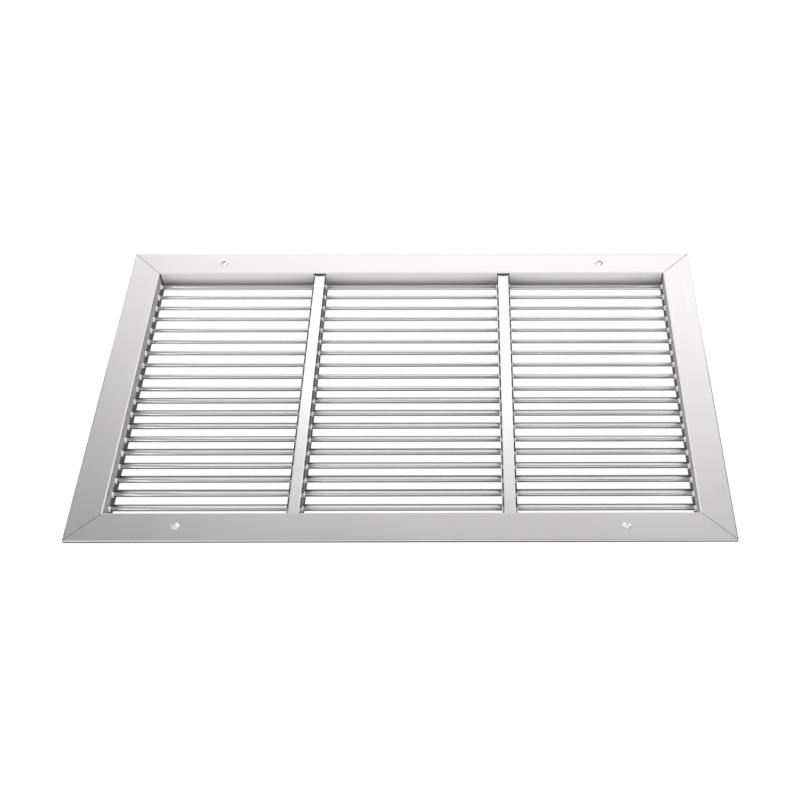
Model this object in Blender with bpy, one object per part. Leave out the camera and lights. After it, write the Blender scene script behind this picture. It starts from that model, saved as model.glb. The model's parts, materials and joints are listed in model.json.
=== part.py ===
"""Return air grille: a mitred flanged frame, two mullions and a row of adjustable aerofoil blades.

Units are metres, +Z up. The grille lies face up on the rear rim of its neck: the rim is z = 0 and the
front of the flange is z = NECK_DEPTH. X runs along the blades and +Y points to the far rail.
"""

import math

import bmesh
import bpy
from mathutils import Matrix

MM = 0.001

# Frame: outer size of the flange and the section of its rails
FRAME_LENGTH = 700.0 * MM
FRAME_WIDTH = 436.0 * MM
NECK_DEPTH = 29.0 * MM
FLANGE_WIDTH = 35.0 * MM
FLANGE_THICKNESS = 1.5 * MM
NECK_WALL = 1.4 * MM
LIP_HEIGHT = 4.0 * MM
LIP_THICKNESS = 1.4 * MM
OUTER_EDGE_RADIUS = 0.8 * MM
INNER_EDGE_RADIUS = 1.0 * MM
MITRE_SEAM = 0.3 * MM

# Key channel behind the flange, and the corner keys in it
CHANNEL_WIDTH = 15.6 * MM
CHANNEL_RIB = 1.2 * MM
CHANNEL_HOOK_REACH = 1.8 * MM
CHANNEL_HOOK_THICKNESS = 0.9 * MM
KEY_CLEARANCE = 0.3 * MM
KEY_LEG_LENGTH = 72.0 * MM
KEY_CORNER_CUT = 5.0 * MM

# Countersunk fixing holes in the flange
FIXING_OFFSET = 236.0 * MM
FIXING_HOLE_DIAMETER = 5.6 * MM
FIXING_SINK_DIAMETER = 9.6 * MM

# Blades: aerofoil on a round nose, which is the pivot
BLADE_PITCH = 18.95 * MM
FAR_MARGIN = 9.0 * MM
NEAR_MARGIN = 15.9 * MM
PIVOT_RECESS = 15.5 * MM
NOSE_DIAMETER = 4.6 * MM
BLADE_REACH = 13.0 * MM
BELLY_THICKNESS = 3.2 * MM
TAIL_THICKNESS = 1.0 * MM

# Tilt at rest of each blade, far side first, in degrees from straight open: each is set by hand
BLADE_TILTS = (37, 54, 54, 56, 52, 52, 55, 52, 54, 53, 60, 60, 60, 57, 61, 58, 61, 61, 57)

# Nylon bushes, pins and the journals that pass the mullions
BUSH_DIAMETER = 6.2 * MM
BUSH_LENGTH = 1.6 * MM
PIN_DIAMETER = 3.2 * MM
PIN_END = 1.5 * MM
JOURNAL_DIAMETER = 4.0 * MM
RUNNING_CLEARANCE = 0.35 * MM
SEAT_GAP = 0.3 * MM

# Mullions: channel bars with a screw port under the face
MULLION_SPACING = 230.0 * MM
MULLION_WIDTH = 15.2 * MM
MULLION_WALL = 1.2 * MM
MULLION_RECESS = 3.2 * MM
MULLION_REAR_RISE = 0.8 * MM
MULLION_EDGE_RADIUS = 2.5 * MM
MULLION_INNER_CUT = 1.1 * MM
MULLION_END_GAP = 2.4 * MM
BUSH_SIDE_GAP = 1.6 * MM
PORT_WALL = 1.1 * MM
PORT_SLOT = 1.6 * MM

# Self-tapping screws that hold the mullions
SCREW_DIAMETER = 3.4 * MM
SCREW_GRIP = 12.0 * MM
SCREW_HEAD_DIAMETER = 6.6 * MM
SCREW_HEAD_HEIGHT = 2.2 * MM
SCREW_CLEARANCE = 0.3 * MM

# Facets of the turned shapes
HOLE_SIDES = 8
JOURNAL_HOLE_SIDES = 10
SINK_SIDES = 20
SCREW_SIDES = 12
FILLET_STEPS = 3
PORT_STEPS = 8

# Directions of the section points round a blade's pivot, in degrees from its tail
NOSE_ANGLES = (96, 124, 152, 180, 208, 236, 264)
TAIL_ANGLES = (-70, -30, 0, 30, 70)

# Sizes that follow from those above
OPENING_LENGTH = FRAME_LENGTH - 2 * FLANGE_WIDTH
OPENING_WIDTH = FRAME_WIDTH - 2 * FLANGE_WIDTH
CHANNEL_START = (FLANGE_WIDTH - NECK_WALL + LIP_THICKNESS - CHANNEL_WIDTH) / 2
PIVOT_HEIGHT = NECK_DEPTH - PIVOT_RECESS
MULLION_TOP = NECK_DEPTH - MULLION_RECESS
PORT_RADIUS = SCREW_DIAMETER / 2 + SCREW_CLEARANCE
PORT_HEIGHT = MULLION_TOP - MULLION_WALL - PORT_RADIUS
BLADE_SPAN = OPENING_WIDTH - FAR_MARGIN - NEAR_MARGIN
BLADE_COUNT = int(BLADE_SPAN / BLADE_PITCH + 1e-6) + 1


def clear_scene():
    """Empty the file of every object."""
    for old in list(bpy.data.objects):
        bpy.data.objects.remove(old, do_unlink=True)


def make_material(name, colour, roughness, metallic):
    """A plain Principled material."""
    material = bpy.data.materials.new(name)
    material.use_nodes = True
    shader = material.node_tree.nodes["Principled BSDF"]
    shader.inputs["Base Color"].default_value = (*colour, 1.0)
    shader.inputs["Roughness"].default_value = roughness
    shader.inputs["Metallic"].default_value = metallic
    return material


def add_object(name, shape, material=None):
    """Turn a bmesh into a named object with outward faces."""
    bmesh.ops.recalc_face_normals(shape, faces=shape.faces)
    mesh = bpy.data.meshes.new(name)
    shape.to_mesh(mesh)
    shape.free()
    piece = bpy.data.objects.new(name, mesh)
    bpy.context.collection.objects.link(piece)
    if material:
        mesh.materials.append(material)
    return piece


def polar(radius, degrees, centre=(0.0, 0.0)):
    """A point of a circle."""
    angle = math.radians(degrees)
    return (centre[0] + radius * math.cos(angle), centre[1] + radius * math.sin(angle))


def arc(centre, radius, start, end, steps):
    """Points of an arc, ends included, angles in degrees."""
    return [polar(radius, start + (end - start) * step / steps, centre) for step in range(steps + 1)]


def loft(rings):
    """A closed solid through rings of equally many points."""
    shape = bmesh.new()
    loops = [[shape.verts.new(point) for point in ring] for ring in rings]
    for first, second in zip(loops, loops[1:]):
        for index in range(len(first)):
            follow = (index + 1) % len(first)
            shape.faces.new((first[index], first[follow], second[follow], second[index]))
    shape.faces.new(loops[0])
    shape.faces.new(loops[-1])
    return shape


def add_cutter(name, shape):
    """A hidden body that only cuts others."""
    cutter = add_object(name, shape)
    cutter.hide_render = True
    cutter.display_type = "WIRE"
    return cutter


def cut(piece, cutter):
    """Take the cutter's shape out of the piece."""
    boolean = piece.modifiers.new("Cut", "BOOLEAN")
    boolean.operation = "DIFFERENCE"
    boolean.solver = "EXACT"
    boolean.object = cutter


def shade_round(piece, angle=35.0):
    """Smooth the round faces and keep the crisp edges."""
    piece.data.shade_smooth()
    piece.data.set_sharp_from_angle(angle=math.radians(angle))


def add_cylinder(shape, axis, centre, radius, length, sides):
    """Add a closed cylinder to a bmesh, its axis along X or Y."""
    turn = Matrix.Rotation(math.pi / 2, 4, "Y" if axis == "X" else "X")
    place = Matrix.Translation(centre) @ turn
    bmesh.ops.create_cone(shape, cap_ends=True, segments=sides, radius1=radius, radius2=radius,
                          depth=length, matrix=place)


def hole_radius(shaft_diameter, clearance, sides):
    """Corner radius of a faceted hole whose flats clear a shaft."""
    return (shaft_diameter / 2 + clearance) / math.cos(math.pi / sides)


def rail_profile():
    """Section of the rail: inward distance from the outer edge, and height."""
    top = NECK_DEPTH
    under = top - FLANGE_THICKNESS
    foot = top - LIP_HEIGHT
    hook = foot + CHANNEL_HOOK_THICKNESS
    first = CHANNEL_START
    last = CHANNEL_START + CHANNEL_WIDTH
    outer = arc((OUTER_EDGE_RADIUS, top - OUTER_EDGE_RADIUS), OUTER_EDGE_RADIUS, 180, 90, FILLET_STEPS)
    inner = arc((FLANGE_WIDTH - INNER_EDGE_RADIUS, top - INNER_EDGE_RADIUS), INNER_EDGE_RADIUS,
                90, 0, FILLET_STEPS)
    behind = [
        (FLANGE_WIDTH, 0.0),
        (FLANGE_WIDTH - NECK_WALL, 0.0),
        (FLANGE_WIDTH - NECK_WALL, under),
        (last + CHANNEL_RIB, under),
        (last + CHANNEL_RIB, foot),
        (last - CHANNEL_HOOK_REACH, foot),
        (last - CHANNEL_HOOK_REACH, hook),
        (last, hook),
        (last, under),
        (first, under),
        (first, hook),
        (first + CHANNEL_HOOK_REACH, hook),
        (first + CHANNEL_HOOK_REACH, foot),
        (first - CHANNEL_RIB, foot),
        (first - CHANNEL_RIB, under),
        (LIP_THICKNESS, under),
        (LIP_THICKNESS, foot),
        (0.0, foot),
    ]
    return outer + inner + behind


def rail_shape(length, across, side):
    """One extruded rail along X with mitred ends, at +Y for side 1 and -Y for side -1."""
    seam = MITRE_SEAM / 2 * math.sqrt(2)
    rings = []
    for end in (-1, 1):
        ring = []
        for inward, height in rail_profile():
            along = end * (length / 2 - inward - seam)
            ring.append((along, side * (across / 2 - inward), height))
        rings.append(ring)
    return loft(rings)


def blade_places():
    """Pivot line of each blade, far side first: its y and its tilt from straight open."""
    first = OPENING_WIDTH / 2 - FAR_MARGIN
    places = []
    for index in range(BLADE_COUNT):
        tilt = math.radians(BLADE_TILTS[index % len(BLADE_TILTS)])
        places.append((first - index * BLADE_PITCH, tilt))
    return places


def mullion_places():
    """X of each mullion, with the word that names it."""
    return (("left", -MULLION_SPACING / 2), ("right", MULLION_SPACING / 2))


def build_long_rails(metal):
    """Far and near rails: fixing holes in the flange, screw holes in the neck."""
    screw_radius = hole_radius(SCREW_DIAMETER, SCREW_CLEARANCE, SCREW_SIDES)
    for word, side in (("far", 1), ("near", -1)):
        rail = add_object(f"{word}_rail", rail_shape(FRAME_LENGTH, FRAME_WIDTH, side), metal)
        cutter = bmesh.new()
        middle = side * (FRAME_WIDTH - FLANGE_WIDTH) / 2
        slope = (FIXING_SINK_DIAMETER - FIXING_HOLE_DIAMETER) / 2 / FLANGE_THICKNESS
        over = FLANGE_THICKNESS / 3
        for end in (-1, 1):
            place = Matrix.Translation((end * FIXING_OFFSET, middle, NECK_DEPTH - FLANGE_THICKNESS / 2))
            bmesh.ops.create_cone(cutter, cap_ends=True, segments=SINK_SIDES,
                                  radius1=FIXING_HOLE_DIAMETER / 2 - over * slope,
                                  radius2=FIXING_SINK_DIAMETER / 2 + over * slope,
                                  depth=FLANGE_THICKNESS + 2 * over, matrix=place)
        for _, x in mullion_places():
            wall = side * (OPENING_WIDTH + NECK_WALL) / 2
            add_cylinder(cutter, "Y", (x, wall, PORT_HEIGHT), screw_radius, 4 * NECK_WALL, SCREW_SIDES)
        cut(rail, add_cutter(f"{word}_rail_holes", cutter))


def build_side_rails(metal):
    """Left and right rails: a row of pin holes in the neck."""
    radius = hole_radius(PIN_DIAMETER, RUNNING_CLEARANCE, HOLE_SIDES)
    turn = Matrix.Rotation(math.pi / 2, 4, "Z")
    for word, side in (("left", 1), ("right", -1)):
        shape = rail_shape(FRAME_WIDTH, FRAME_LENGTH, side)
        bmesh.ops.transform(shape, matrix=turn, verts=shape.verts)
        rail = add_object(f"{word}_rail", shape, metal)
        cutter = bmesh.new()
        wall = -side * (OPENING_LENGTH + NECK_WALL) / 2
        for y, _ in blade_places():
            add_cylinder(cutter, "X", (wall, y, PIVOT_HEIGHT), radius, 4 * NECK_WALL, HOLE_SIDES)
        cut(rail, add_cutter(f"{word}_rail_pin_holes", cutter))


def build_corner_keys(steel):
    """Flat L-shaped keys that slide in the channels and lock the mitres."""
    near_edge = CHANNEL_START + KEY_CLEARANCE
    far_edge = CHANNEL_START + CHANNEL_WIDTH - KEY_CLEARANCE
    low = NECK_DEPTH - LIP_HEIGHT + CHANNEL_HOOK_THICKNESS + KEY_CLEARANCE
    high = NECK_DEPTH - FLANGE_THICKNESS - KEY_CLEARANCE
    outline = [
        (near_edge + KEY_CORNER_CUT, near_edge),
        (KEY_LEG_LENGTH, near_edge),
        (KEY_LEG_LENGTH, far_edge),
        (far_edge, far_edge),
        (far_edge, KEY_LEG_LENGTH),
        (near_edge, KEY_LEG_LENGTH),
        (near_edge, near_edge + KEY_CORNER_CUT),
    ]
    for y_word, y_side in (("far", 1), ("near", -1)):
        for x_word, x_side in (("left", -1), ("right", 1)):
            rings = []
            for height in (low, high):
                rings.append([(x_side * (FRAME_LENGTH / 2 - across), y_side * (FRAME_WIDTH / 2 - down),
                               height) for across, down in outline])
            add_object(f"{y_word}_{x_word}_corner_key", loft(rings), steel)


def mullion_profile():
    """Section of the mullion: distance from its middle, and height."""
    half = MULLION_WIDTH / 2
    inside = half - MULLION_WALL
    under = MULLION_TOP - MULLION_WALL
    corner = MULLION_TOP - MULLION_EDGE_RADIUS
    port_outer = PORT_RADIUS + PORT_WALL
    lift = math.degrees(math.asin((under - PORT_HEIGHT) / port_outer))
    slot_out = math.degrees(math.asin(PORT_SLOT / 2 / port_outer))
    slot_in = math.degrees(math.asin(PORT_SLOT / 2 / PORT_RADIUS))
    port = (0.0, PORT_HEIGHT)
    right = arc((half - MULLION_EDGE_RADIUS, corner), MULLION_EDGE_RADIUS, 0, 90, FILLET_STEPS)
    left = arc((MULLION_EDGE_RADIUS - half, corner), MULLION_EDGE_RADIUS, 90, 180, FILLET_STEPS)
    shell = [(half, MULLION_REAR_RISE)] + right + left
    shell += [(-half, MULLION_REAR_RISE), (-inside, MULLION_REAR_RISE)]
    shell += [(-inside, under - MULLION_INNER_CUT), (MULLION_INNER_CUT - inside, under)]
    shell += arc(port, port_outer, 180 - lift, 270 - slot_out, PORT_STEPS // 2)
    shell += arc(port, PORT_RADIUS, 270 - slot_in, -90 + slot_in, PORT_STEPS)
    shell += arc(port, port_outer, -90 + slot_out, lift, PORT_STEPS // 2)
    shell += [(inside - MULLION_INNER_CUT, under), (inside, under - MULLION_INNER_CUT)]
    shell += [(inside, MULLION_REAR_RISE)]
    return shell


def build_mullions(metal):
    """Two channel bars from the far wall to the near wall, bored for the blade journals."""
    radius = hole_radius(JOURNAL_DIAMETER, RUNNING_CLEARANCE, JOURNAL_HOLE_SIDES)
    far_end = OPENING_WIDTH / 2 - MULLION_END_GAP
    near_end = -OPENING_WIDTH / 2 + SEAT_GAP
    for word, x in mullion_places():
        rings = []
        for y in (near_end, far_end):
            rings.append([(x + across, y, height) for across, height in mullion_profile()])
        bar = add_object(f"{word}_mullion", loft(rings), metal)
        cutter = bmesh.new()
        for y, _ in blade_places():
            add_cylinder(cutter, "X", (x, y, PIVOT_HEIGHT), radius, MULLION_WIDTH + 4 * MULLION_WALL,
                           JOURNAL_HOLE_SIDES)
        cut(bar, add_cutter(f"{word}_mullion_bores", cutter))


def build_mullion_screws(steel):
    """Pan-head screws through the neck into the ports of the mullions."""
    dome = [(SCREW_HEAD_DIAMETER / 2, 0.0), (SCREW_HEAD_DIAMETER / 2, 0.4 * SCREW_HEAD_HEIGHT),
            (0.8 * SCREW_HEAD_DIAMETER / 2, 0.85 * SCREW_HEAD_HEIGHT),
            (0.4 * SCREW_HEAD_DIAMETER / 2, SCREW_HEAD_HEIGHT)]
    stations = [(SCREW_DIAMETER / 4, -SCREW_GRIP), (SCREW_DIAMETER / 2, SCREW_DIAMETER / 2 - SCREW_GRIP),
                (SCREW_DIAMETER / 2, 0.0)] + dome
    seat = OPENING_WIDTH / 2 + NECK_WALL + SEAT_GAP
    for y_word, side in (("far", 1), ("near", -1)):
        for x_word, x in mullion_places():
            rings = []
            for radius, out in stations:
                rings.append([(x + across, side * (seat + out), PORT_HEIGHT + up)
                              for across, up in arc((0.0, 0.0), radius, 0, 360, SCREW_SIDES)[:-1]])
            screw = add_object(f"{y_word}_{x_word}_mullion_screw", loft(rings), steel)
            shade_round(screw)


def blade_section():
    """Aerofoil section round the pivot: distance towards the tail, and offset to the side."""
    middle = 0.52 * BLADE_REACH
    nose = [polar(NOSE_DIAMETER / 2, angle) for angle in NOSE_ANGLES]
    tail_flat = BLADE_REACH - 0.4 * TAIL_THICKNESS
    tail = [(middle, -BELLY_THICKNESS / 2), (tail_flat, -TAIL_THICKNESS / 2), (BLADE_REACH, 0.0),
            (tail_flat, TAIL_THICKNESS / 2), (middle, BELLY_THICKNESS / 2)]
    return nose + tail


def round_section(diameter):
    """Round section with as many points as the aerofoil."""
    return [polar(diameter / 2, angle) for angle in NOSE_ANGLES + TAIL_ANGLES]


def blade_mesh(metal):
    """Mesh of one blade, pivot line on local X, tail pointing down."""
    wall = OPENING_LENGTH / 2
    bush_face = wall - SEAT_GAP
    fin_end = bush_face - BUSH_LENGTH
    pin_end = wall + NECK_WALL + PIN_END
    half_notch = MULLION_WIDTH / 2 + BUSH_SIDE_GAP
    pin = round_section(PIN_DIAMETER)
    bush = round_section(BUSH_DIAMETER)
    journal = round_section(JOURNAL_DIAMETER)
    fin = blade_section()
    stations = [(-pin_end, pin), (-bush_face, pin), (-bush_face, bush), (-fin_end, bush), (-fin_end, fin)]
    for _, x in mullion_places():
        stations += [(x - half_notch, fin), (x - half_notch, journal),
                     (x + half_notch, journal), (x + half_notch, fin)]
    stations += [(fin_end, fin), (fin_end, bush), (bush_face, bush), (bush_face, pin), (pin_end, pin)]
    rings = [[(x, offset, -out) for out, offset in section] for x, section in stations]
    piece = add_object("blade_master", loft(rings), metal)
    shade_round(piece)
    mesh = piece.data
    bpy.data.objects.remove(piece, do_unlink=True)
    return mesh


def build_blades(metal):
    """The row of blades, each with its origin on its own pivot line."""
    mesh = blade_mesh(metal)
    for index, (y, tilt) in enumerate(blade_places()):
        blade = bpy.data.objects.new(f"blade_{index + 1:02d}", mesh)
        bpy.context.collection.objects.link(blade)
        blade.location = (0.0, y, PIVOT_HEIGHT)
        blade.rotation_euler = (tilt, 0.0, 0.0)


def main():
    """Build the whole grille."""
    clear_scene()
    frame_metal = make_material("Satin aluminium", (0.74, 0.73, 0.74), 0.38, 1.0)
    blade_metal = make_material("Blade aluminium", (0.78, 0.78, 0.77), 0.30, 1.0)
    steel = make_material("Zinc plated steel", (0.62, 0.63, 0.64), 0.35, 1.0)
    build_long_rails(frame_metal)
    build_side_rails(frame_metal)
    build_corner_keys(steel)
    build_mullions(frame_metal)
    build_mullion_screws(steel)
    build_blades(blade_metal)


main()
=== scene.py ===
"""Looks of a return air grille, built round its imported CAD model.

Lengths are in metres. +X runs along the blades, +Y points to the far rail, +Z out of the face.
"""

import json
import math

import bmesh
import bpy
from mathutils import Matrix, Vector

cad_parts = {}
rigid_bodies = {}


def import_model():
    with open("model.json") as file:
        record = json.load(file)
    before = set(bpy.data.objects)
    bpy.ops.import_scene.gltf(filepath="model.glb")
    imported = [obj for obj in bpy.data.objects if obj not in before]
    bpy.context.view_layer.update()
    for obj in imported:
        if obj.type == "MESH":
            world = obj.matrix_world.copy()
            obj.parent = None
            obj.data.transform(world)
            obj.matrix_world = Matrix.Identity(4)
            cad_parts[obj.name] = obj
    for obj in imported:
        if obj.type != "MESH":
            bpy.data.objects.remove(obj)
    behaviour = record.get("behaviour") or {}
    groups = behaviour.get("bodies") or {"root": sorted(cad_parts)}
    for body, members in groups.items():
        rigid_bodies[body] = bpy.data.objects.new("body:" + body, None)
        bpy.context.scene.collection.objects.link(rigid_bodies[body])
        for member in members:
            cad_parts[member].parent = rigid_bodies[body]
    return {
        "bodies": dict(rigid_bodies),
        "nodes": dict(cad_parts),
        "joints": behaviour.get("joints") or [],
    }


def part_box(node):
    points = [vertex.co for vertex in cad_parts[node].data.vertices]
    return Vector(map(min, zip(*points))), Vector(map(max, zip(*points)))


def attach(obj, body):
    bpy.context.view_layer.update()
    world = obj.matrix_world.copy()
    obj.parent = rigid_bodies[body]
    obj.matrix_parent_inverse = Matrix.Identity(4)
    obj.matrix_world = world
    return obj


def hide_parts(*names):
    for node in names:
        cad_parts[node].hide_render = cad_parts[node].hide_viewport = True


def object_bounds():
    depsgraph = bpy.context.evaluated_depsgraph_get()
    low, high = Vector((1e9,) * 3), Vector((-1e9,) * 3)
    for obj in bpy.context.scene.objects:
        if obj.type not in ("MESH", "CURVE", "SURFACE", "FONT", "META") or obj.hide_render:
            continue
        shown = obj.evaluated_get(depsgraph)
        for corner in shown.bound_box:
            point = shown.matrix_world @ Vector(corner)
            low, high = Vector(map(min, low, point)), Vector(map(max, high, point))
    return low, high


bl_info = {
    "name": "Return air grille",
    "version": (1, 0, 0),
    "blender": (4, 5, 0),
    "location": "3D View > Sidebar > Grille",
    "description": "Dresses the packed model of a return air grille and lights it",
    "category": "Object",
}

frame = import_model()
CAD_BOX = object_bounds()

MM = 0.001
RAILS_ALONG_X = ("far_rail", "near_rail")
RAILS_ALONG_Y = ("left_rail", "right_rail")
MULLIONS = ("left_mullion", "right_mullion")
BLADES = sorted(name for name in frame["bodies"] if name.startswith("blade"))
FASTENERS = sorted(name for name in frame["nodes"] if name.endswith(("_key", "_screw")))
PIVOTS = {joint["child"]: joint["pos_m"] for joint in frame["joints"]}
PIVOT_HEIGHT = PIVOTS[BLADES[0]][2]
FIRST_ROW = PIVOTS[BLADES[0]][1]
ROW_PITCH = FIRST_ROW - PIVOTS[BLADES[1]][1]
FACE_HEIGHT = CAD_BOX[1].z

# Half the width and half the height of the face opening, to the inner faces of the neck's walls.
WALL_X = 315 * MM
WALL_Y = 183 * MM

# The mullions and the ends of the pins, read from the CAD model.
MULLION_X = [sum(corner.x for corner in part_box(name)) / 2 for name in MULLIONS]
MULLION_HALF = (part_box(MULLIONS[0])[1].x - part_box(MULLIONS[0])[0].x) / 2
MULLION_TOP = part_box(MULLIONS[0])[1].z
PIN_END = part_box(BLADES[0])[1].x

# Half thickness of a blade's tail in millimetres, at shares of the blade's reach.
TAIL_SECTION = ((0.20, 2.00), (0.35, 1.82), (0.52, 1.58), (0.67, 1.28), (0.80, 0.96),
                (0.90, 0.70), (0.965, 0.50))
# The tail grows from the faces of the nose that lie within this angle of straight down.
TAIL_ROOT_ANGLE = math.radians(67.5)
NOSE_SIDES = 48
BAR_SIDES = 32
BLADE_EDGE_ROUNDING = 0.12 * MM
BUSH_EDGE_ROUNDING = 0.10 * MM
# How deep the pins and journals stand in the blade lengths.
JOURNAL_DEPTH = 1.0 * MM
# A bush's room round its pin and beside its blade, and its gap to the metal that it sits on.
BUSH_PLAY = 0.1 * MM
BUSH_SEAT_GAP = 0.02 * MM
SMOOTH_ANGLE = math.radians(32)

# Looks that have no setting. The tones are brightnesses from 0 to 1.
RAIL_TINT = (1.0, 0.97, 0.985)
SEAM_TONE = 0.10
# Tone of the painted shade on the blades.
BLADE_SHADE_TONE = 0.06
# Tone of the painted reflection of a blade on a mullion's side.
BLADE_REFLECTION_TONE = 0.55
# Strength of the painted glow of the nylon bushes.
NYLON_PAINTED_GLOW = 0.18
RELIEF_DEPTH = 0.05 * MM
# How far the painted reflection of a blade on a mullion's side leans towards the near rail, for
# each unit of height.
REFLECTION_LEAN = 0.84

# Lamps: name, place, the point they face, size, and the setting that holds their power.
LAMPS = (
    ("softbox", (0.185, 1.696, 1.435), (0.05, 0.0, 0.0), (2.76, 1.17), "softbox_power"),
    ("fill", (-0.6, -1.6, 1.8), (0.0, 0.0, 0.0), (2.4, 1.8), "fill_power"),
    ("left_fill", (-2.5, -0.6, 1.15), (0.0, 0.0, 0.0), (3.0, 2.0), "side_power"),
    ("right_fill", (2.5, -0.6, 1.15), (0.0, 0.0, 0.0), (3.0, 2.0), "side_power"),
)
CAMERA_PLACE = (0.0683, -0.8774, 1.0151)
CAMERA_ANGLES = (38.276, -0.082, -0.189)
CAMERA_SHIFT = (-0.0875, 0.0625)
SENSOR_WIDTH = 36.0

# The floor lies just under the grille, and the camera and reflections see it nearly white.
FLOOR_DROP = 0.3 * MM
FLOOR_SEEN_SHARE = 0.93
FLOOR_SEEN_STRENGTH = 1.06
FLOOR_COLOUR = (0.93, 0.93, 0.93, 1.0)
WHITE = (1.0, 1.0, 1.0, 1.0)


# Settings


class GrilleMetalSettings(bpy.types.PropertyGroup):
    """Colours and finish of the metal and the nylon."""

    rail_colour: bpy.props.FloatVectorProperty(
        name="Rail colour", description="Colour of the satin anodised rails",
        subtype="COLOR", size=3, min=0.0, max=1.0, default=(0.82, 0.805, 0.81))
    mullion_colour: bpy.props.FloatVectorProperty(
        name="Mullion colour", description="Colour of the two mullions",
        subtype="COLOR", size=3, min=0.0, max=1.0, default=(0.93, 0.925, 0.935))
    blade_colour: bpy.props.FloatVectorProperty(
        name="Blade colour", description="Colour of the aerofoil blades",
        subtype="COLOR", size=3, min=0.0, max=1.0, default=(0.96, 0.96, 0.955))
    nylon_colour: bpy.props.FloatVectorProperty(
        name="Nylon colour", description="Colour of the pivot bushes",
        subtype="COLOR", size=3, min=0.0, max=1.0, default=(0.96, 0.96, 0.945))
    steel_colour: bpy.props.FloatVectorProperty(
        name="Steel colour", description="Colour of the zinc plated keys and screws",
        subtype="COLOR", size=3, min=0.0, max=1.0, default=(0.62, 0.63, 0.64))
    rail_roughness: bpy.props.FloatProperty(
        name="Rail roughness", description="How matt the anodised rails are",
        subtype="FACTOR", min=0.0, max=1.0, default=0.42)
    mullion_roughness: bpy.props.FloatProperty(
        name="Mullion roughness", description="How matt the mullions are",
        subtype="FACTOR", min=0.0, max=1.0, default=0.35)
    blade_roughness: bpy.props.FloatProperty(
        name="Blade roughness", description="How matt the blades are",
        subtype="FACTOR", min=0.0, max=1.0, default=0.30)
    # Tone of the painted shade on the side walls.
    side_wall_tone: bpy.props.FloatProperty(
        name="Side wall tone",
        description="Brightness of the left and right walls above the pivots",
        subtype="FACTOR", min=0.0, max=1.0, default=0.42)
    # Tone of the painted shade on the flange's outer edge.
    lip_tone: bpy.props.FloatProperty(
        name="Lip tone", description="Brightness of the flange's outer edge",
        subtype="FACTOR", min=0.0, max=1.0, default=0.10)
    # Tone of the far and near walls, before their painted shade with depth.
    end_wall_tone: bpy.props.FloatProperty(
        name="End wall tone", description="Brightness of the far and near walls under the flange",
        subtype="FACTOR", min=0.0, max=1.0, default=1.0)
    # Tone of the painted shade on a mullion's sides.
    mullion_side_tone: bpy.props.FloatProperty(
        name="Mullion side tone", description="Brightness of a mullion's sides between the blades",
        subtype="FACTOR", min=0.0, max=1.0, default=0.20)


class GrilleBladeSettings(bpy.types.PropertyGroup):
    """Sizes of the blades and of their bushes."""

    nose_diameter: bpy.props.FloatProperty(
        name="Nose diameter", description="Diameter of a blade's round nose",
        subtype="DISTANCE", unit="LENGTH", default=4.6 * MM)
    reach: bpy.props.FloatProperty(
        name="Reach", description="From the pivot line to the tip of a blade's tail",
        subtype="DISTANCE", unit="LENGTH", default=13.0 * MM)
    wall_gap: bpy.props.FloatProperty(
        name="Wall gap", description="From the side wall to the end of a blade",
        subtype="DISTANCE", unit="LENGTH", default=1.9 * MM)
    mullion_gap: bpy.props.FloatProperty(
        name="Mullion gap", description="From a mullion's side to the end of a blade",
        subtype="DISTANCE", unit="LENGTH", default=0.8 * MM)
    journal_diameter: bpy.props.FloatProperty(
        name="Journal diameter", description="Diameter of the journals in the mullions",
        subtype="DISTANCE", unit="LENGTH", default=4.0 * MM)
    pin_diameter: bpy.props.FloatProperty(
        name="Pin diameter", description="Diameter of the pins in the side walls",
        subtype="DISTANCE", unit="LENGTH", default=3.2 * MM)
    bush_diameter: bpy.props.FloatProperty(
        name="Bush diameter", description="Outer diameter of the nylon bushes",
        subtype="DISTANCE", unit="LENGTH", default=6.2 * MM)


class GrilleStageSettings(bpy.types.PropertyGroup):
    """Floor, lamps and camera."""

    floor_size: bpy.props.FloatProperty(
        name="Floor size", description="Length of the floor's sides",
        subtype="DISTANCE", unit="LENGTH", default=24.0)
    softbox_power: bpy.props.FloatProperty(
        name="Softbox power", description="Power of the large lamp beyond the far rail",
        subtype="POWER", unit="POWER", default=16.2)
    fill_power: bpy.props.FloatProperty(
        name="Fill power", description="Power of the weak lamp on the camera's side",
        subtype="POWER", unit="POWER", default=6.0)
    sky_level: bpy.props.FloatProperty(
        name="Sky level", description="Brightness of the grey room overhead",
        min=0.0, max=2.0, default=0.195)
    near_sky_level: bpy.props.FloatProperty(
        name="Near sky level", description="Brightness of the room behind the camera",
        min=0.0, max=2.0, default=0.45)
    side_power: bpy.props.FloatProperty(
        name="Side power", description="Power of each of the two lamps beside the grille",
        subtype="POWER", unit="POWER", default=44.0)
    lens: bpy.props.FloatProperty(
        name="Lens", description="Focal length of the camera",
        unit="CAMERA", default=51.46)


# Modelling helpers


def clear_selection():
    """Leaves object mode with nothing selected."""
    if bpy.context.object and bpy.context.object.mode != "OBJECT":
        bpy.ops.object.mode_set(mode="OBJECT")
    bpy.ops.object.select_all(action="DESELECT")


def take(*pieces):
    """Selects only these pieces; the first one is active."""
    clear_selection()
    for piece in pieces:
        piece.select_set(True)
    bpy.context.view_layer.objects.active = pieces[0]


def edit(piece, mode="FACE"):
    """Opens a piece in edit mode with nothing selected."""
    take(piece)
    bpy.ops.object.mode_set(mode="EDIT")
    bpy.ops.mesh.select_mode(type=mode)
    bpy.ops.mesh.select_all(action="DESELECT")


def pick(piece, kind, test):
    """Selects in edit mode the faces, edges or vertices that pass a test, and only those."""
    bpy.ops.mesh.select_all(action="DESELECT")
    mesh = bmesh.from_edit_mesh(piece.data)
    for part in getattr(mesh, kind):
        if test(part):
            part.select_set(True)
    mesh.select_flush_mode()
    bmesh.update_edit_mesh(piece.data)


def leave_edit():
    """Goes back to object mode."""
    bpy.ops.object.mode_set(mode="OBJECT")


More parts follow.
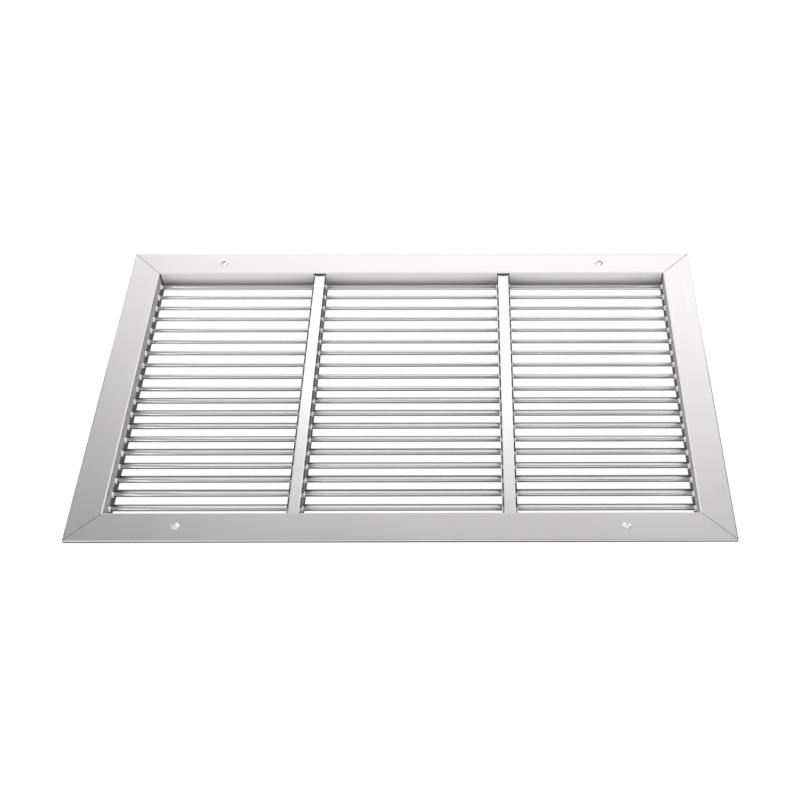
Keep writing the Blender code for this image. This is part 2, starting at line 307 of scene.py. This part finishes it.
def round_bar(name, diameter, start, end, sides):
    """Round bar along X from start to end."""
    clear_selection()
    bpy.ops.mesh.primitive_cylinder_add(
        vertices=sides, radius=diameter / 2, depth=end - start, end_fill_type="NGON",
        location=((start + end) / 2, 0.0, 0.0), rotation=(0.0, math.pi / 2, 0.0))
    piece = bpy.context.object
    piece.name = name
    bpy.ops.object.transform_apply(location=True, rotation=True, scale=True)
    return piece


def copy_of(piece, name):
    """Copy of a piece with its own mesh."""
    other = piece.copy()
    other.data = piece.data.copy()
    other.name = other.data.name = name
    bpy.context.collection.objects.link(other)
    return other


def place(piece, location=(0.0, 0.0, 0.0), turn=0.0):
    """Turns a piece about X, moves it, and puts its place into its mesh."""
    take(piece)
    piece.rotation_euler = (turn, 0.0, 0.0)
    piece.location = location
    bpy.ops.object.transform_apply(location=True, rotation=True, scale=True)


def apply_modifier(piece, kind, **settings):
    """Adds a modifier, sets it and applies it."""
    take(piece)
    modifier = piece.modifiers.new(kind.title(), kind)
    for key, value in settings.items():
        setattr(modifier, key, value)
    bpy.ops.object.modifier_apply(modifier=modifier.name)


def finish_piece(piece, material, body):
    """Shades a piece, gives it its material, and ties it to its body and material slot."""
    take(piece)
    bpy.ops.object.shade_smooth_by_angle(angle=SMOOTH_ANGLE)
    piece.data.name = piece.name
    piece.data.materials.clear()
    piece.data.materials.append(material)
    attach(piece, body)


# Material helpers


class Channel:
    """A socket of a material, so that shader maths can be written as an expression."""

    def __init__(self, finish, socket):
        self.finish = finish
        self.socket = socket

    def maths(self, operation, *values):
        """Math node on these values."""
        return self.finish.node("ShaderNodeMath", {"operation": operation}, dict(enumerate(values)))

    def __add__(self, other):
        return self.maths("ADD", self, other)

    def __radd__(self, other):
        return self.maths("ADD", other, self)

    def __sub__(self, other):
        return self.maths("SUBTRACT", self, other)

    def __rsub__(self, other):
        return self.maths("SUBTRACT", other, self)

    def __mul__(self, other):
        return self.maths("MULTIPLY", self, other)

    def __rmul__(self, other):
        return self.maths("MULTIPLY", other, self)

    def __gt__(self, other):
        return self.maths("GREATER_THAN", self, other)

    def __lt__(self, other):
        return self.maths("LESS_THAN", self, other)

    def __abs__(self):
        return self.maths("ABSOLUTE", self)

    def clamped(self):
        """The value kept between 0 and 1."""
        return self.finish.node("ShaderNodeClamp", {}, {"Value": self})

    def ramp(self, start, end, low=0.0, high=1.0):
        """Smooth step of the value: low at start, high at end."""
        settings = {"interpolation_type": "SMOOTHSTEP"}
        values = {"Value": self, "From Min": start, "From Max": end, "To Min": low, "To Max": high}
        return self.finish.node("ShaderNodeMapRange", settings, values)


class Finish:
    """A node material while it is being made."""

    def __init__(self, name, owner=None):
        self.owner = owner or bpy.data.materials.new(name)
        self.owner.use_nodes = True
        self.tree = self.owner.node_tree
        self.tree.nodes.clear()

    def node(self, kind, settings=None, values=None, output=0):
        """Adds a node, makes its settings, then links or sets its inputs; returns one output."""
        made = self.tree.nodes.new(kind)
        for key, value in (settings or {}).items():
            setattr(made, key, value)
        for key, value in (values or {}).items():
            if isinstance(value, Channel):
                self.tree.links.new(value.socket, made.inputs[key])
            else:
                made.inputs[key].default_value = value
        return Channel(self, made.outputs[output]) if made.outputs else None

    def place(self):
        """Object coordinates, as a vector and as its three numbers."""
        vector = self.node("ShaderNodeTexCoord", output="Object")
        parts = [self.node("ShaderNodeSeparateXYZ", values={0: vector}, output=axis)
                 for axis in "XYZ"]
        return vector, parts

    def noise(self, vector, stretch, detail=2.0, roughness=0.5, shift=(0.0, 0.0, 0.0)):
        """Noise from 0 to 1, with its own scale along each axis."""
        placing = {"Vector": vector, "Scale": stretch, "Location": shift}
        spot = self.node("ShaderNodeMapping", values=placing)
        values = {"Vector": spot, "Scale": 1.0, "Detail": detail, "Roughness": roughness}
        return self.node("ShaderNodeTexNoise", values=values)

    def mix(self, share, first, second):
        """Colour between first and second."""
        first, second = [c if isinstance(c, Channel) else (*c, 1.0) for c in (first, second)]
        values = {0: share, 6: first, 7: second}
        return self.node("ShaderNodeMix", {"data_type": "RGBA"}, values, output=2)

    def scaled(self, colour, share):
        """Colour multiplied by a value."""
        values = {0: colour, "Scale": share}
        return self.node("ShaderNodeVectorMath", {"operation": "SCALE"}, values)

    def bump(self, height, strength, distance):
        """Normal bent by a height."""
        values = {"Height": height, "Strength": strength, "Distance": distance}
        return self.node("ShaderNodeBump", values=values, output="Normal")

    def either(self, first, second):
        """The larger of two values."""
        return first.maths("MAXIMUM", first, second)

    def grey(self, tone):
        """Colour with the same tone in all three channels."""
        if not isinstance(tone, Channel):
            return (tone, tone, tone, 1.0)
        values = {"Red": tone, "Green": tone, "Blue": tone}
        return self.node("ShaderNodeCombineColor", values=values)

    def surface(self, values, second=None, share=0.0):
        """Principled surface, mixed by a share with a second one, and the finished material."""
        shader = self.node("ShaderNodeBsdfPrincipled", values=values)
        if second:
            other = self.node("ShaderNodeBsdfPrincipled", values=second)
            shader = self.node("ShaderNodeMixShader", values={0: share, 1: shader, 2: other})
        self.node("ShaderNodeOutputMaterial", values={"Surface": shader})
        return self.owner


def darker(colour, share):
    """Colour multiplied by a share."""
    return tuple(part * share for part in colour)


def extrusion_tone(finish, vector, along):
    """Draw lines, grain and cloudiness of an aluminium extrusion: three values from 0 to 1."""
    coarse = tuple(3.0 if axis == along else 420.0 for axis in range(3))
    fine = tuple(9.0 if axis == along else 1700.0 for axis in range(3))
    lines = finish.noise(vector, coarse, 3.0, 0.6)
    grain = finish.noise(vector, fine, 2.0, 0.5)
    cloud = finish.noise(vector, (5.0, 5.0, 5.0), 3.0, 0.55)
    return lines, grain, cloud


def anodised(name, colour, roughness, along, shade, relief_strength=0.10):
    """Satin anodised extrusion; shade(finish) gives a painted colour for shade, highlights and
    seams, and where a matt surface lays it over the metal.
    """
    finish = Finish(name)
    vector, _ = finish.place()
    lines, grain, cloud = extrusion_tone(finish, vector, along)
    scratch = tuple(26.0 if axis == along else 900.0 for axis in range(3))
    marks = finish.noise(vector, scratch, 1.0, 0.5, (3.1, 1.7, 0.4)).ramp(0.70, 0.78)
    tone = (cloud.ramp(0.30, 0.70) * 0.45 + lines * 0.35 + grain * 0.2).clamped()
    base = finish.mix(tone, darker(colour, 0.90), colour)
    base = finish.mix(marks * 0.25, base, darker(colour, 0.72))
    rough = (lines - 0.5) * relief_strength + (cloud - 0.5) * 0.08 + roughness
    relief = {}
    if relief_strength:
        height = lines * 0.6 + grain * 0.4
        relief["Normal"] = finish.bump(height, relief_strength, RELIEF_DEPTH)
    metal = {"Base Color": base, "Metallic": 1.0, "Roughness": rough.clamped(), **relief}
    # A matt surface carries the painted shade and highlights, and on the rails the dark seams.
    painted_light_and_seam_colour, share = shade(finish)
    painted_light_and_seams = {"Base Color": painted_light_and_seam_colour, "Roughness": 0.6, "Specular IOR Level": 0.1, **relief}
    return finish.surface(metal, painted_light_and_seams, share.clamped())


def neck_shade(side_tone, end_tone, lip_tone):
    """Painted shade and highlight on the rails, and their dark seams: shade on the neck's walls and
    the flange's outer edge, a highlight on its inner edge, and dark corner and mitre seams.
    """
    def shade(finish):
        vector, (x, towards, z) = finish.place()
        x, y = abs(x), abs(towards)
        mottle = finish.noise(vector, (240.0, 240.0, 160.0), 3.0, 0.6).ramp(0.35, 0.65, 0.75, 1.15)
        # Painted shade: the far and near walls darken with depth, and the side walls darken below
        # the pivots and in a band just under the flange.
        depth = z.ramp(FACE_HEIGHT - 5.0 * MM, PIVOT_HEIGHT - 3.0 * MM)
        low = z.ramp(PIVOT_HEIGHT + 1.0 * MM, PIVOT_HEIGHT - 1.5 * MM)
        top = z.ramp(FACE_HEIGHT - 3.0 * MM, FACE_HEIGHT - 1.6 * MM)
        side_share = (1.0 - low * 0.78) * (1.0 - top * 0.45) * mottle
        end_share = 1.0 - depth * 0.46
        seam = (x > WALL_X - 1.3 * MM) * (y > WALL_Y - 1.3 * MM)
        # Painted shadow on the far and near walls just above each mullion's end.
        behind = abs(x - MULLION_X[1]).ramp(MULLION_HALF + 0.9 * MM, MULLION_HALF - 0.1 * MM)
        behind = behind * (z > MULLION_TOP - 1.0 * MM) * (y > WALL_Y - 0.2 * MM)
        hidden = (1.0 - behind * 0.90) * (1.0 - seam * 0.85)
        side = (x < WALL_X + 0.7 * MM) * (y < WALL_Y - 0.05 * MM)
        wall_tone = (side * side_share * side_tone + (1.0 - side) * end_share * end_tone) * hidden
        # Painted highlight along the flange's rounded inner edge, and painted shade on its outer
        # edge, full on the near half and fading out towards the far rail.
        rim = z > FACE_HEIGHT - 0.9 * MM
        lip = (y > CAD_BOX[1].y - 0.5 * MM) * (z < FACE_HEIGHT - 1.8 * MM)
        lip = finish.either(x > CAD_BOX[1].x - 0.9 * MM, lip)
        lip = lip * towards.ramp(0.12, 0.0)
        tone = rim + (1.0 - rim) * wall_tone
        tone = lip * lip_tone + (1.0 - lip) * tone
        neck = (x < WALL_X + 1.4 * MM) * (y < WALL_Y + 0.8 * MM)
        mitre = abs(x - y - (WALL_X - WALL_Y)).ramp(0.9 * MM, 0.3 * MM) * 0.5
        mitre = mitre * (1.0 - neck) * (1.0 - lip)
        painted_light_and_seams = finish.either(finish.either(neck, lip), mitre)
        tone = tone * (mitre < 0.01) + SEAM_TONE * (mitre > 0.01)
        return finish.scaled(RAIL_TINT, tone), painted_light_and_seams
    return shade


def mullion_shade(side_tone):
    """Painted shade on the mullions: dark sides and the rounded edge on the outer side, with a
    painted reflection of each blade beside it.
    """
    def shade(finish):
        _, (x, y, z) = finish.place()
        aside = abs(x) - MULLION_X[1]
        outer = aside.ramp(MULLION_HALF - 2.2 * MM, MULLION_HALF - 1.6 * MM)
        flank = abs(aside).ramp(MULLION_HALF - 1.4 * MM, MULLION_HALF - 0.7 * MM)
        # Painted reflection of each blade on the sides, leaning towards the near rail as it rises.
        row = (FIRST_ROW - y - (z - PIVOT_HEIGHT) * REFLECTION_LEAN) * (1.0 / ROW_PITCH)
        nearest = abs(row - row.maths("ROUND", row)) * ROW_PITCH
        beside = nearest.ramp(3.0 * MM, 2.0 * MM)
        # Painted shade: the sides are darker near the top and below the pivots.
        edge = z.ramp(MULLION_TOP - 4.5 * MM, MULLION_TOP - 2.5 * MM, 1.0, 0.25)
        low = z.ramp(PIVOT_HEIGHT - 3.0 * MM, PIVOT_HEIGHT, 0.25, 1.0)
        tone = beside * (BLADE_REFLECTION_TONE - side_tone) + edge * low * side_tone
        return finish.grey(tone), finish.either(flank, outer)
    return shade


def blade_shade(finish):
    """Painted shade on the blades: dark on top of the tail and under the nose."""
    _, (_, y, _) = finish.place()
    # chord is 0 at the pivot and 1 at the tip; under is 1 below the nose and -1 on top of it.
    chord = finish.node("ShaderNodeAttribute", {"attribute_name": "chord"}, output="Fac")
    under = finish.node("ShaderNodeAttribute", {"attribute_name": "under"}, output="Fac")
    # Painted shade on top of the tail, and under the nose more strongly towards the near rail.
    tail = chord.ramp(0.26, 0.48) * under.ramp(0.15, -0.05) * 0.86
    belly = under.ramp(0.18, 0.42) * chord.ramp(0.30, 0.12) * y.ramp(0.14, -0.04, 0.08, 0.80)
    return finish.grey(BLADE_SHADE_TONE), finish.either(tail, belly)


def nylon(name, colour):
    """Moulded nylon, with a faint painted glow that stands in for the light it scatters inside and
    lightens it where it lies in shade.
    """
    finish = Finish(name)
    vector, _ = finish.place()
    cloud = finish.noise(vector, (260.0, 260.0, 260.0), 2.0)
    base = finish.mix(cloud, darker(colour, 0.96), colour)
    return finish.surface({
        "Base Color": base, "Roughness": cloud * 0.12 + 0.42,
        # Painted glow, not a lamp: it lightens the bushes in shade.
        "Emission Color": base, "Emission Strength": NYLON_PAINTED_GLOW,
        "Normal": finish.bump(cloud, 0.06, RELIEF_DEPTH)})


def plated_steel(name, colour):
    """Zinc plating with its small spangles."""
    finish = Finish(name)
    vector, _ = finish.place()
    spangle = finish.node("ShaderNodeTexVoronoi", values={"Vector": vector, "Scale": 420.0})
    cloud = finish.noise(vector, (90.0, 90.0, 90.0), 3.0)
    base = finish.mix(spangle.clamped(), colour, darker(colour, 0.78))
    return finish.surface({
        "Base Color": base, "Metallic": 1.0, "Roughness": cloud * 0.25 + 0.26,
        "Normal": finish.bump(cloud, 0.08, RELIEF_DEPTH)})


def wear(names, material):
    """Gives CAD nodes their material."""
    for name in names:
        mesh = frame["nodes"][name].data
        mesh.materials.clear()
        mesh.materials.append(material)


# Pieces


def tail_angle(node):
    """Angle of a CAD blade's tail from straight down, about its pivot line."""
    _, pivot_y, pivot_z = PIVOTS[node]
    offsets = [Vector((vert.co.y - pivot_y, pivot_z - vert.co.z))
               for vert in frame["nodes"][node].data.vertices]
    reach = max(offset.length for offset in offsets)
    tips = [math.atan2(offset.x, offset.y) for offset in offsets
            if offset.length > reach - 0.2 * MM]
    return (min(tips) + max(tips)) / 2


def model_blade_length(settings):
    """One length of blade along X, its tail pointing down."""
    half = MULLION_X[1] - MULLION_HALF - settings.mullion_gap
    piece = round_bar("blade_length", settings.nose_diameter, -half, half, NOSE_SIDES)
    radius = settings.nose_diameter / 2
    depth = radius * math.cos(TAIL_ROOT_ANGLE)
    thickness = radius * math.sin(TAIL_ROOT_ANGLE)
    edit(piece)
    pick(piece, "faces", lambda face: abs(face.normal.x) < 0.5
         and -face.normal.z > math.cos(TAIL_ROOT_ANGLE))
    for share, half_thickness in TAIL_SECTION:
        step = share * settings.reach - depth
        factor = half_thickness * MM / thickness
        bpy.ops.mesh.extrude_region_move(TRANSFORM_OT_translate={"value": (0.0, 0.0, -step)})
        depth += step
        bpy.ops.transform.resize(value=(1.0, factor, factor), center_override=(0.0, 0.0, -depth))
        thickness *= factor
    leave_edit()
    return piece


def move_end(piece, side, distance):
    """Moves one end of a blade length along X."""
    edit(piece, "VERT")
    pick(piece, "verts", lambda vert: vert.co.x * side > 0)
    bpy.ops.transform.translate(value=(distance, 0.0, 0.0))
    leave_edit()


def model_blade(settings):
    """A whole row: three blade lengths on their journals and end pins."""
    middle = model_blade_length(settings)
    inner = MULLION_X[1] + MULLION_HALF + settings.mullion_gap
    outer = WALL_X - settings.wall_gap
    half = MULLION_X[1] - MULLION_HALF - settings.mullion_gap
    lengths = [middle]
    for side in (-1, 1):
        length = copy_of(middle, "blade_length_side")
        centre = side * (inner + outer) / 2
        move_end(length, 1, (outer - inner) / 2 - half)
        move_end(length, -1, half - (outer - inner) / 2)
        place(length, (centre, 0.0, 0.0))
        lengths.append(length)
    for length in lengths:
        apply_modifier(length, "BEVEL", width=BLADE_EDGE_ROUNDING, segments=2,
                       limit_method="ANGLE", angle_limit=math.radians(60))
    bars = []
    for centre in MULLION_X:
        reach = MULLION_HALF + settings.mullion_gap + JOURNAL_DEPTH
        bars.append(round_bar("journal", settings.journal_diameter, centre - reach,
                              centre + reach, BAR_SIDES))
    pin = settings.pin_diameter
    bars.append(round_bar("pin", pin, outer - JOURNAL_DEPTH, PIN_END, BAR_SIDES))
    bars.append(round_bar("pin", pin, -PIN_END, JOURNAL_DEPTH - outer, BAR_SIDES))
    for other in lengths[1:] + bars:
        apply_modifier(middle, "BOOLEAN", operation="UNION", solver="EXACT", object=other)
        bpy.data.objects.remove(other, do_unlink=True)
    note_section(middle, settings)
    return middle


def note_section(piece, settings):
    """Notes on every vertex its place in the blade's section: towards the tail, and underneath."""
    chord = piece.data.attributes.new("chord", "FLOAT", "POINT")
    for vert in piece.data.vertices:
        chord.data[vert.index].value = -vert.co.z / settings.reach
    under = piece.data.attributes.new("under", "FLOAT", "POINT")
    for vert in piece.data.vertices:
        under.data[vert.index].value = -2 * vert.co.y / settings.nose_diameter


def model_bush(name, outer_diameter, bore_diameter, length):
    """Nylon bush along X: a collar with a raised rim, a hub and a bore."""
    radius = outer_diameter / 2
    piece = round_bar(name, outer_diameter, 0.0, length, BAR_SIDES)
    edit(piece)
    pick(piece, "faces", lambda face: abs(face.normal.x) > 0.9)
    rim = 0.30 * (radius - bore_diameter / 2)
    groove = 0.14 * length
    bpy.ops.mesh.inset(thickness=rim)
    bpy.ops.mesh.inset(thickness=0.4 * rim, depth=-groove)
    bpy.ops.mesh.inset(thickness=0.6 * rim)
    bpy.ops.mesh.inset(thickness=0.3 * rim, depth=groove)
    bpy.ops.mesh.inset(thickness=radius - bore_diameter / 2 - 2.3 * rim)
    bpy.ops.mesh.delete(type="FACE")
    bpy.ops.mesh.select_mode(type="EDGE")
    pick(piece, "edges", lambda edge: edge.is_boundary)
    bpy.ops.mesh.bridge_edge_loops()
    bpy.ops.mesh.select_all(action="SELECT")
    bpy.ops.mesh.normals_make_consistent(inside=False)
    leave_edit()
    apply_modifier(piece, "BEVEL", width=BUSH_EDGE_ROUNDING, segments=2,
                   limit_method="ANGLE", angle_limit=math.radians(40))
    return piece


def model_bush_row(settings):
    """The six bushes of one row, joined, with the pivot line on X."""
    wall = model_bush("wall_bush", settings.bush_diameter,
                      settings.pin_diameter + BUSH_PLAY, settings.wall_gap - BUSH_PLAY)
    mullion = model_bush("mullion_bush", settings.bush_diameter,
                         settings.journal_diameter + BUSH_PLAY, settings.mullion_gap - BUSH_PLAY)
    row = []
    for side in (-1, 1):
        end = copy_of(wall, "bush")
        turn_about_z(end, side)
        place(end, (side * (WALL_X - BUSH_SEAT_GAP), 0.0, 0.0))
        row.append(end)
        for centre in MULLION_X:
            other = copy_of(mullion, "bush")
            turn_about_z(other, -side)
            place(other, (centre + side * (MULLION_HALF + BUSH_SEAT_GAP), 0.0, 0.0))
            row.append(other)
    for used in (wall, mullion):
        bpy.data.objects.remove(used, do_unlink=True)
    take(*row)
    bpy.ops.object.join()
    return bpy.context.object


def turn_about_z(piece, side):
    """Turns a bush to point inwards from the wall on that side."""
    take(piece)
    piece.rotation_euler = (0.0, 0.0, math.pi if side > 0 else 0.0)
    bpy.ops.object.transform_apply(location=True, rotation=True, scale=True)


# Operators


class GRILLE_OT_dress_rails(bpy.types.Operator):
    """Give the four rails their satin anodised finish"""

    bl_idname = "grille.dress_rails"
    bl_label = "Dress Rails"

    def execute(self, context):
        metal = context.scene.grille_metal
        for axis, names in enumerate((RAILS_ALONG_X, RAILS_ALONG_Y)):
            wear(names, anodised(f"anodised_rail_{'xy'[axis]}", metal.rail_colour,
                                 metal.rail_roughness, axis,
                                 neck_shade(metal.side_wall_tone, metal.end_wall_tone,
                                            metal.lip_tone)))
        return {"FINISHED"}


class GRILLE_OT_dress_mullions(bpy.types.Operator):
    """Give the two mullions their brighter anodised finish"""

    bl_idname = "grille.dress_mullions"
    bl_label = "Dress Mullions"

    def execute(self, context):
        metal = context.scene.grille_metal
        wear(MULLIONS, anodised("anodised_mullion", metal.mullion_colour,
                                metal.mullion_roughness, 1,
                                mullion_shade(metal.mullion_side_tone)))
        return {"FINISHED"}


class GRILLE_OT_dress_fasteners(bpy.types.Operator):
    """Give the corner keys and the mullion screws their zinc plating"""

    bl_idname = "grille.dress_fasteners"
    bl_label = "Dress Keys and Screws"

    def execute(self, context):
        wear(FASTENERS, plated_steel("zinc_plate", context.scene.grille_metal.steel_colour))
        return {"FINISHED"}


class GRILLE_OT_add_blades(bpy.types.Operator):
    """Model the row of aerofoil blades and stand one in for each CAD blade"""

    bl_idname = "grille.add_blades"
    bl_label = "Add Blades"

    def execute(self, context):
        metal = context.scene.grille_metal
        material = anodised("anodised_blade", metal.blade_colour, metal.blade_roughness, 0,
                            blade_shade, relief_strength=0.0)
        master = model_blade(context.scene.grille_blades)
        for node in BLADES:
            piece = copy_of(master, f"{node}_row")
            place(piece, PIVOTS[node], tail_angle(node))
            finish_piece(piece, material, node)
            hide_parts(node)
        bpy.data.objects.remove(master, do_unlink=True)
        return {"FINISHED"}


class GRILLE_OT_add_bushes(bpy.types.Operator):
    """Model the nylon pivot bushes of every blade"""

    bl_idname = "grille.add_bushes"
    bl_label = "Add Bushes"

    def execute(self, context):
        material = nylon("bush_nylon", context.scene.grille_metal.nylon_colour)
        master = model_bush_row(context.scene.grille_blades)
        for node in BLADES:
            piece = copy_of(master, f"{node}_bushes")
            place(piece, PIVOTS[node])
            finish_piece(piece, material, node)
        bpy.data.objects.remove(master, do_unlink=True)
        return {"FINISHED"}


class GRILLE_OT_add_stage(bpy.types.Operator):
    """Add the floor, the lamps, the room and the camera"""

    bl_idname = "grille.add_stage"
    bl_label = "Add Stage"

    def execute(self, context):
        stage = context.scene.grille_stage
        self.add_floor(stage)
        self.add_room(context.scene, stage)
        for name, location, target, size, power in LAMPS:
            self.add_lamp(name, location, target, size, getattr(stage, power))
        self.add_camera(context.scene, stage)
        context.scene.view_settings.view_transform = "Standard"
        return {"FINISHED"}

    def add_floor(self, stage):
        """Pale floor that stays close to white and keeps the grille's shadow."""
        clear_selection()
        bpy.ops.mesh.primitive_plane_add(size=stage.floor_size, location=(0.0, 0.0, -FLOOR_DROP))
        floor = bpy.context.object
        floor.name = "floor"
        finish = Finish("pale_floor")
        paths = [finish.node("ShaderNodeLightPath", output=name)
                 for name in ("Is Camera Ray", "Is Glossy Ray", "Is Transmission Ray")]
        share = (paths[0] + paths[1] + paths[2]).clamped() * FLOOR_SEEN_SHARE
        matt = finish.node("ShaderNodeBsdfDiffuse", values={"Color": FLOOR_COLOUR})
        seen = {"Color": WHITE, "Strength": FLOOR_SEEN_STRENGTH}
        white = finish.node("ShaderNodeEmission", values=seen)
        both = finish.node("ShaderNodeMixShader", values={0: share, 1: matt, 2: white})
        finish.node("ShaderNodeOutputMaterial", values={"Surface": both})
        floor.data.materials.append(finish.owner)

    def add_room(self, scene, stage):
        """Grey room overhead, brighter on the near side, that turns white near the horizon."""
        world = bpy.data.worlds.new("room")
        scene.world = world
        finish = Finish("room", world)
        direction = finish.node("ShaderNodeTexCoord", output="Generated")
        depth = finish.node("ShaderNodeSeparateXYZ", values={0: direction}, output="Y")
        height = finish.node("ShaderNodeSeparateXYZ", values={0: direction}, output="Z")
        sky = depth.ramp(-0.30, -0.80, stage.sky_level, stage.near_sky_level)
        level = height.ramp(0.02, 0.22, 1.0, sky)
        room = finish.node("ShaderNodeBackground", values={"Color": WHITE, "Strength": level})
        finish.node("ShaderNodeOutputWorld", values={"Surface": room})

    def add_lamp(self, name, location, target, size, power):
        """Large soft lamp that faces a target."""
        data = bpy.data.lights.new(name, "AREA")
        data.shape = "RECTANGLE"
        data.size, data.size_y = size
        data.energy = power
        lamp = bpy.data.objects.new(name, data)
        bpy.context.collection.objects.link(lamp)
        lamp.location = location
        aim = Vector(target) - Vector(location)
        lamp.rotation_euler = aim.to_track_quat("-Z", "Y").to_euler()

    def add_camera(self, scene, stage):
        """Camera at the photograph's viewing angle."""
        data = bpy.data.cameras.new("camera")
        data.lens = stage.lens
        data.sensor_width = SENSOR_WIDTH
        data.shift_x, data.shift_y = CAMERA_SHIFT
        data.dof.use_dof = False
        camera = bpy.data.objects.new("camera", data)
        bpy.context.collection.objects.link(camera)
        camera.location = CAMERA_PLACE
        camera.rotation_euler = [math.radians(angle) for angle in CAMERA_ANGLES]
        scene.camera = camera


class GRILLE_PT_panel(bpy.types.Panel):
    """Lists the steps of the grille and its settings"""

    bl_label = "Return Air Grille"
    bl_idname = "GRILLE_PT_panel"
    bl_space_type = "VIEW_3D"
    bl_region_type = "UI"
    bl_category = "Grille"

    def draw(self, context):
        for step in STEPS:
            self.layout.operator(step.bl_idname)
        for name in GROUPS:
            group = getattr(context.scene, name)
            box = self.layout.box()
            for key in group.__annotations__:
                box.prop(group, key)


STEPS = (GRILLE_OT_dress_rails, GRILLE_OT_dress_mullions, GRILLE_OT_dress_fasteners,
         GRILLE_OT_add_blades, GRILLE_OT_add_bushes, GRILLE_OT_add_stage)
GROUPS = {"grille_metal": GrilleMetalSettings, "grille_blades": GrilleBladeSettings,
          "grille_stage": GrilleStageSettings}


def register():
    """Registers the settings, the steps and the panel."""
    for group in GROUPS.values():
        bpy.utils.register_class(group)
    for step in STEPS:
        bpy.utils.register_class(step)
    bpy.utils.register_class(GRILLE_PT_panel)
    for name, group in GROUPS.items():
        setattr(bpy.types.Scene, name, bpy.props.PointerProperty(type=group))


def unregister():
    """Takes the settings, the steps and the panel away again."""
    for name in GROUPS:
        delattr(bpy.types.Scene, name)
    bpy.utils.unregister_class(GRILLE_PT_panel)
    for step in reversed(STEPS):
        bpy.utils.unregister_class(step)
    for group in GROUPS.values():
        bpy.utils.unregister_class(group)


def main():
    """Dresses the grille."""
    register()
    bpy.ops.grille.dress_rails()
    bpy.ops.grille.dress_mullions()
    bpy.ops.grille.dress_fasteners()
    bpy.ops.grille.add_blades()
    bpy.ops.grille.add_bushes()
    bpy.ops.grille.add_stage()


if __name__ == "__main__":
    main()
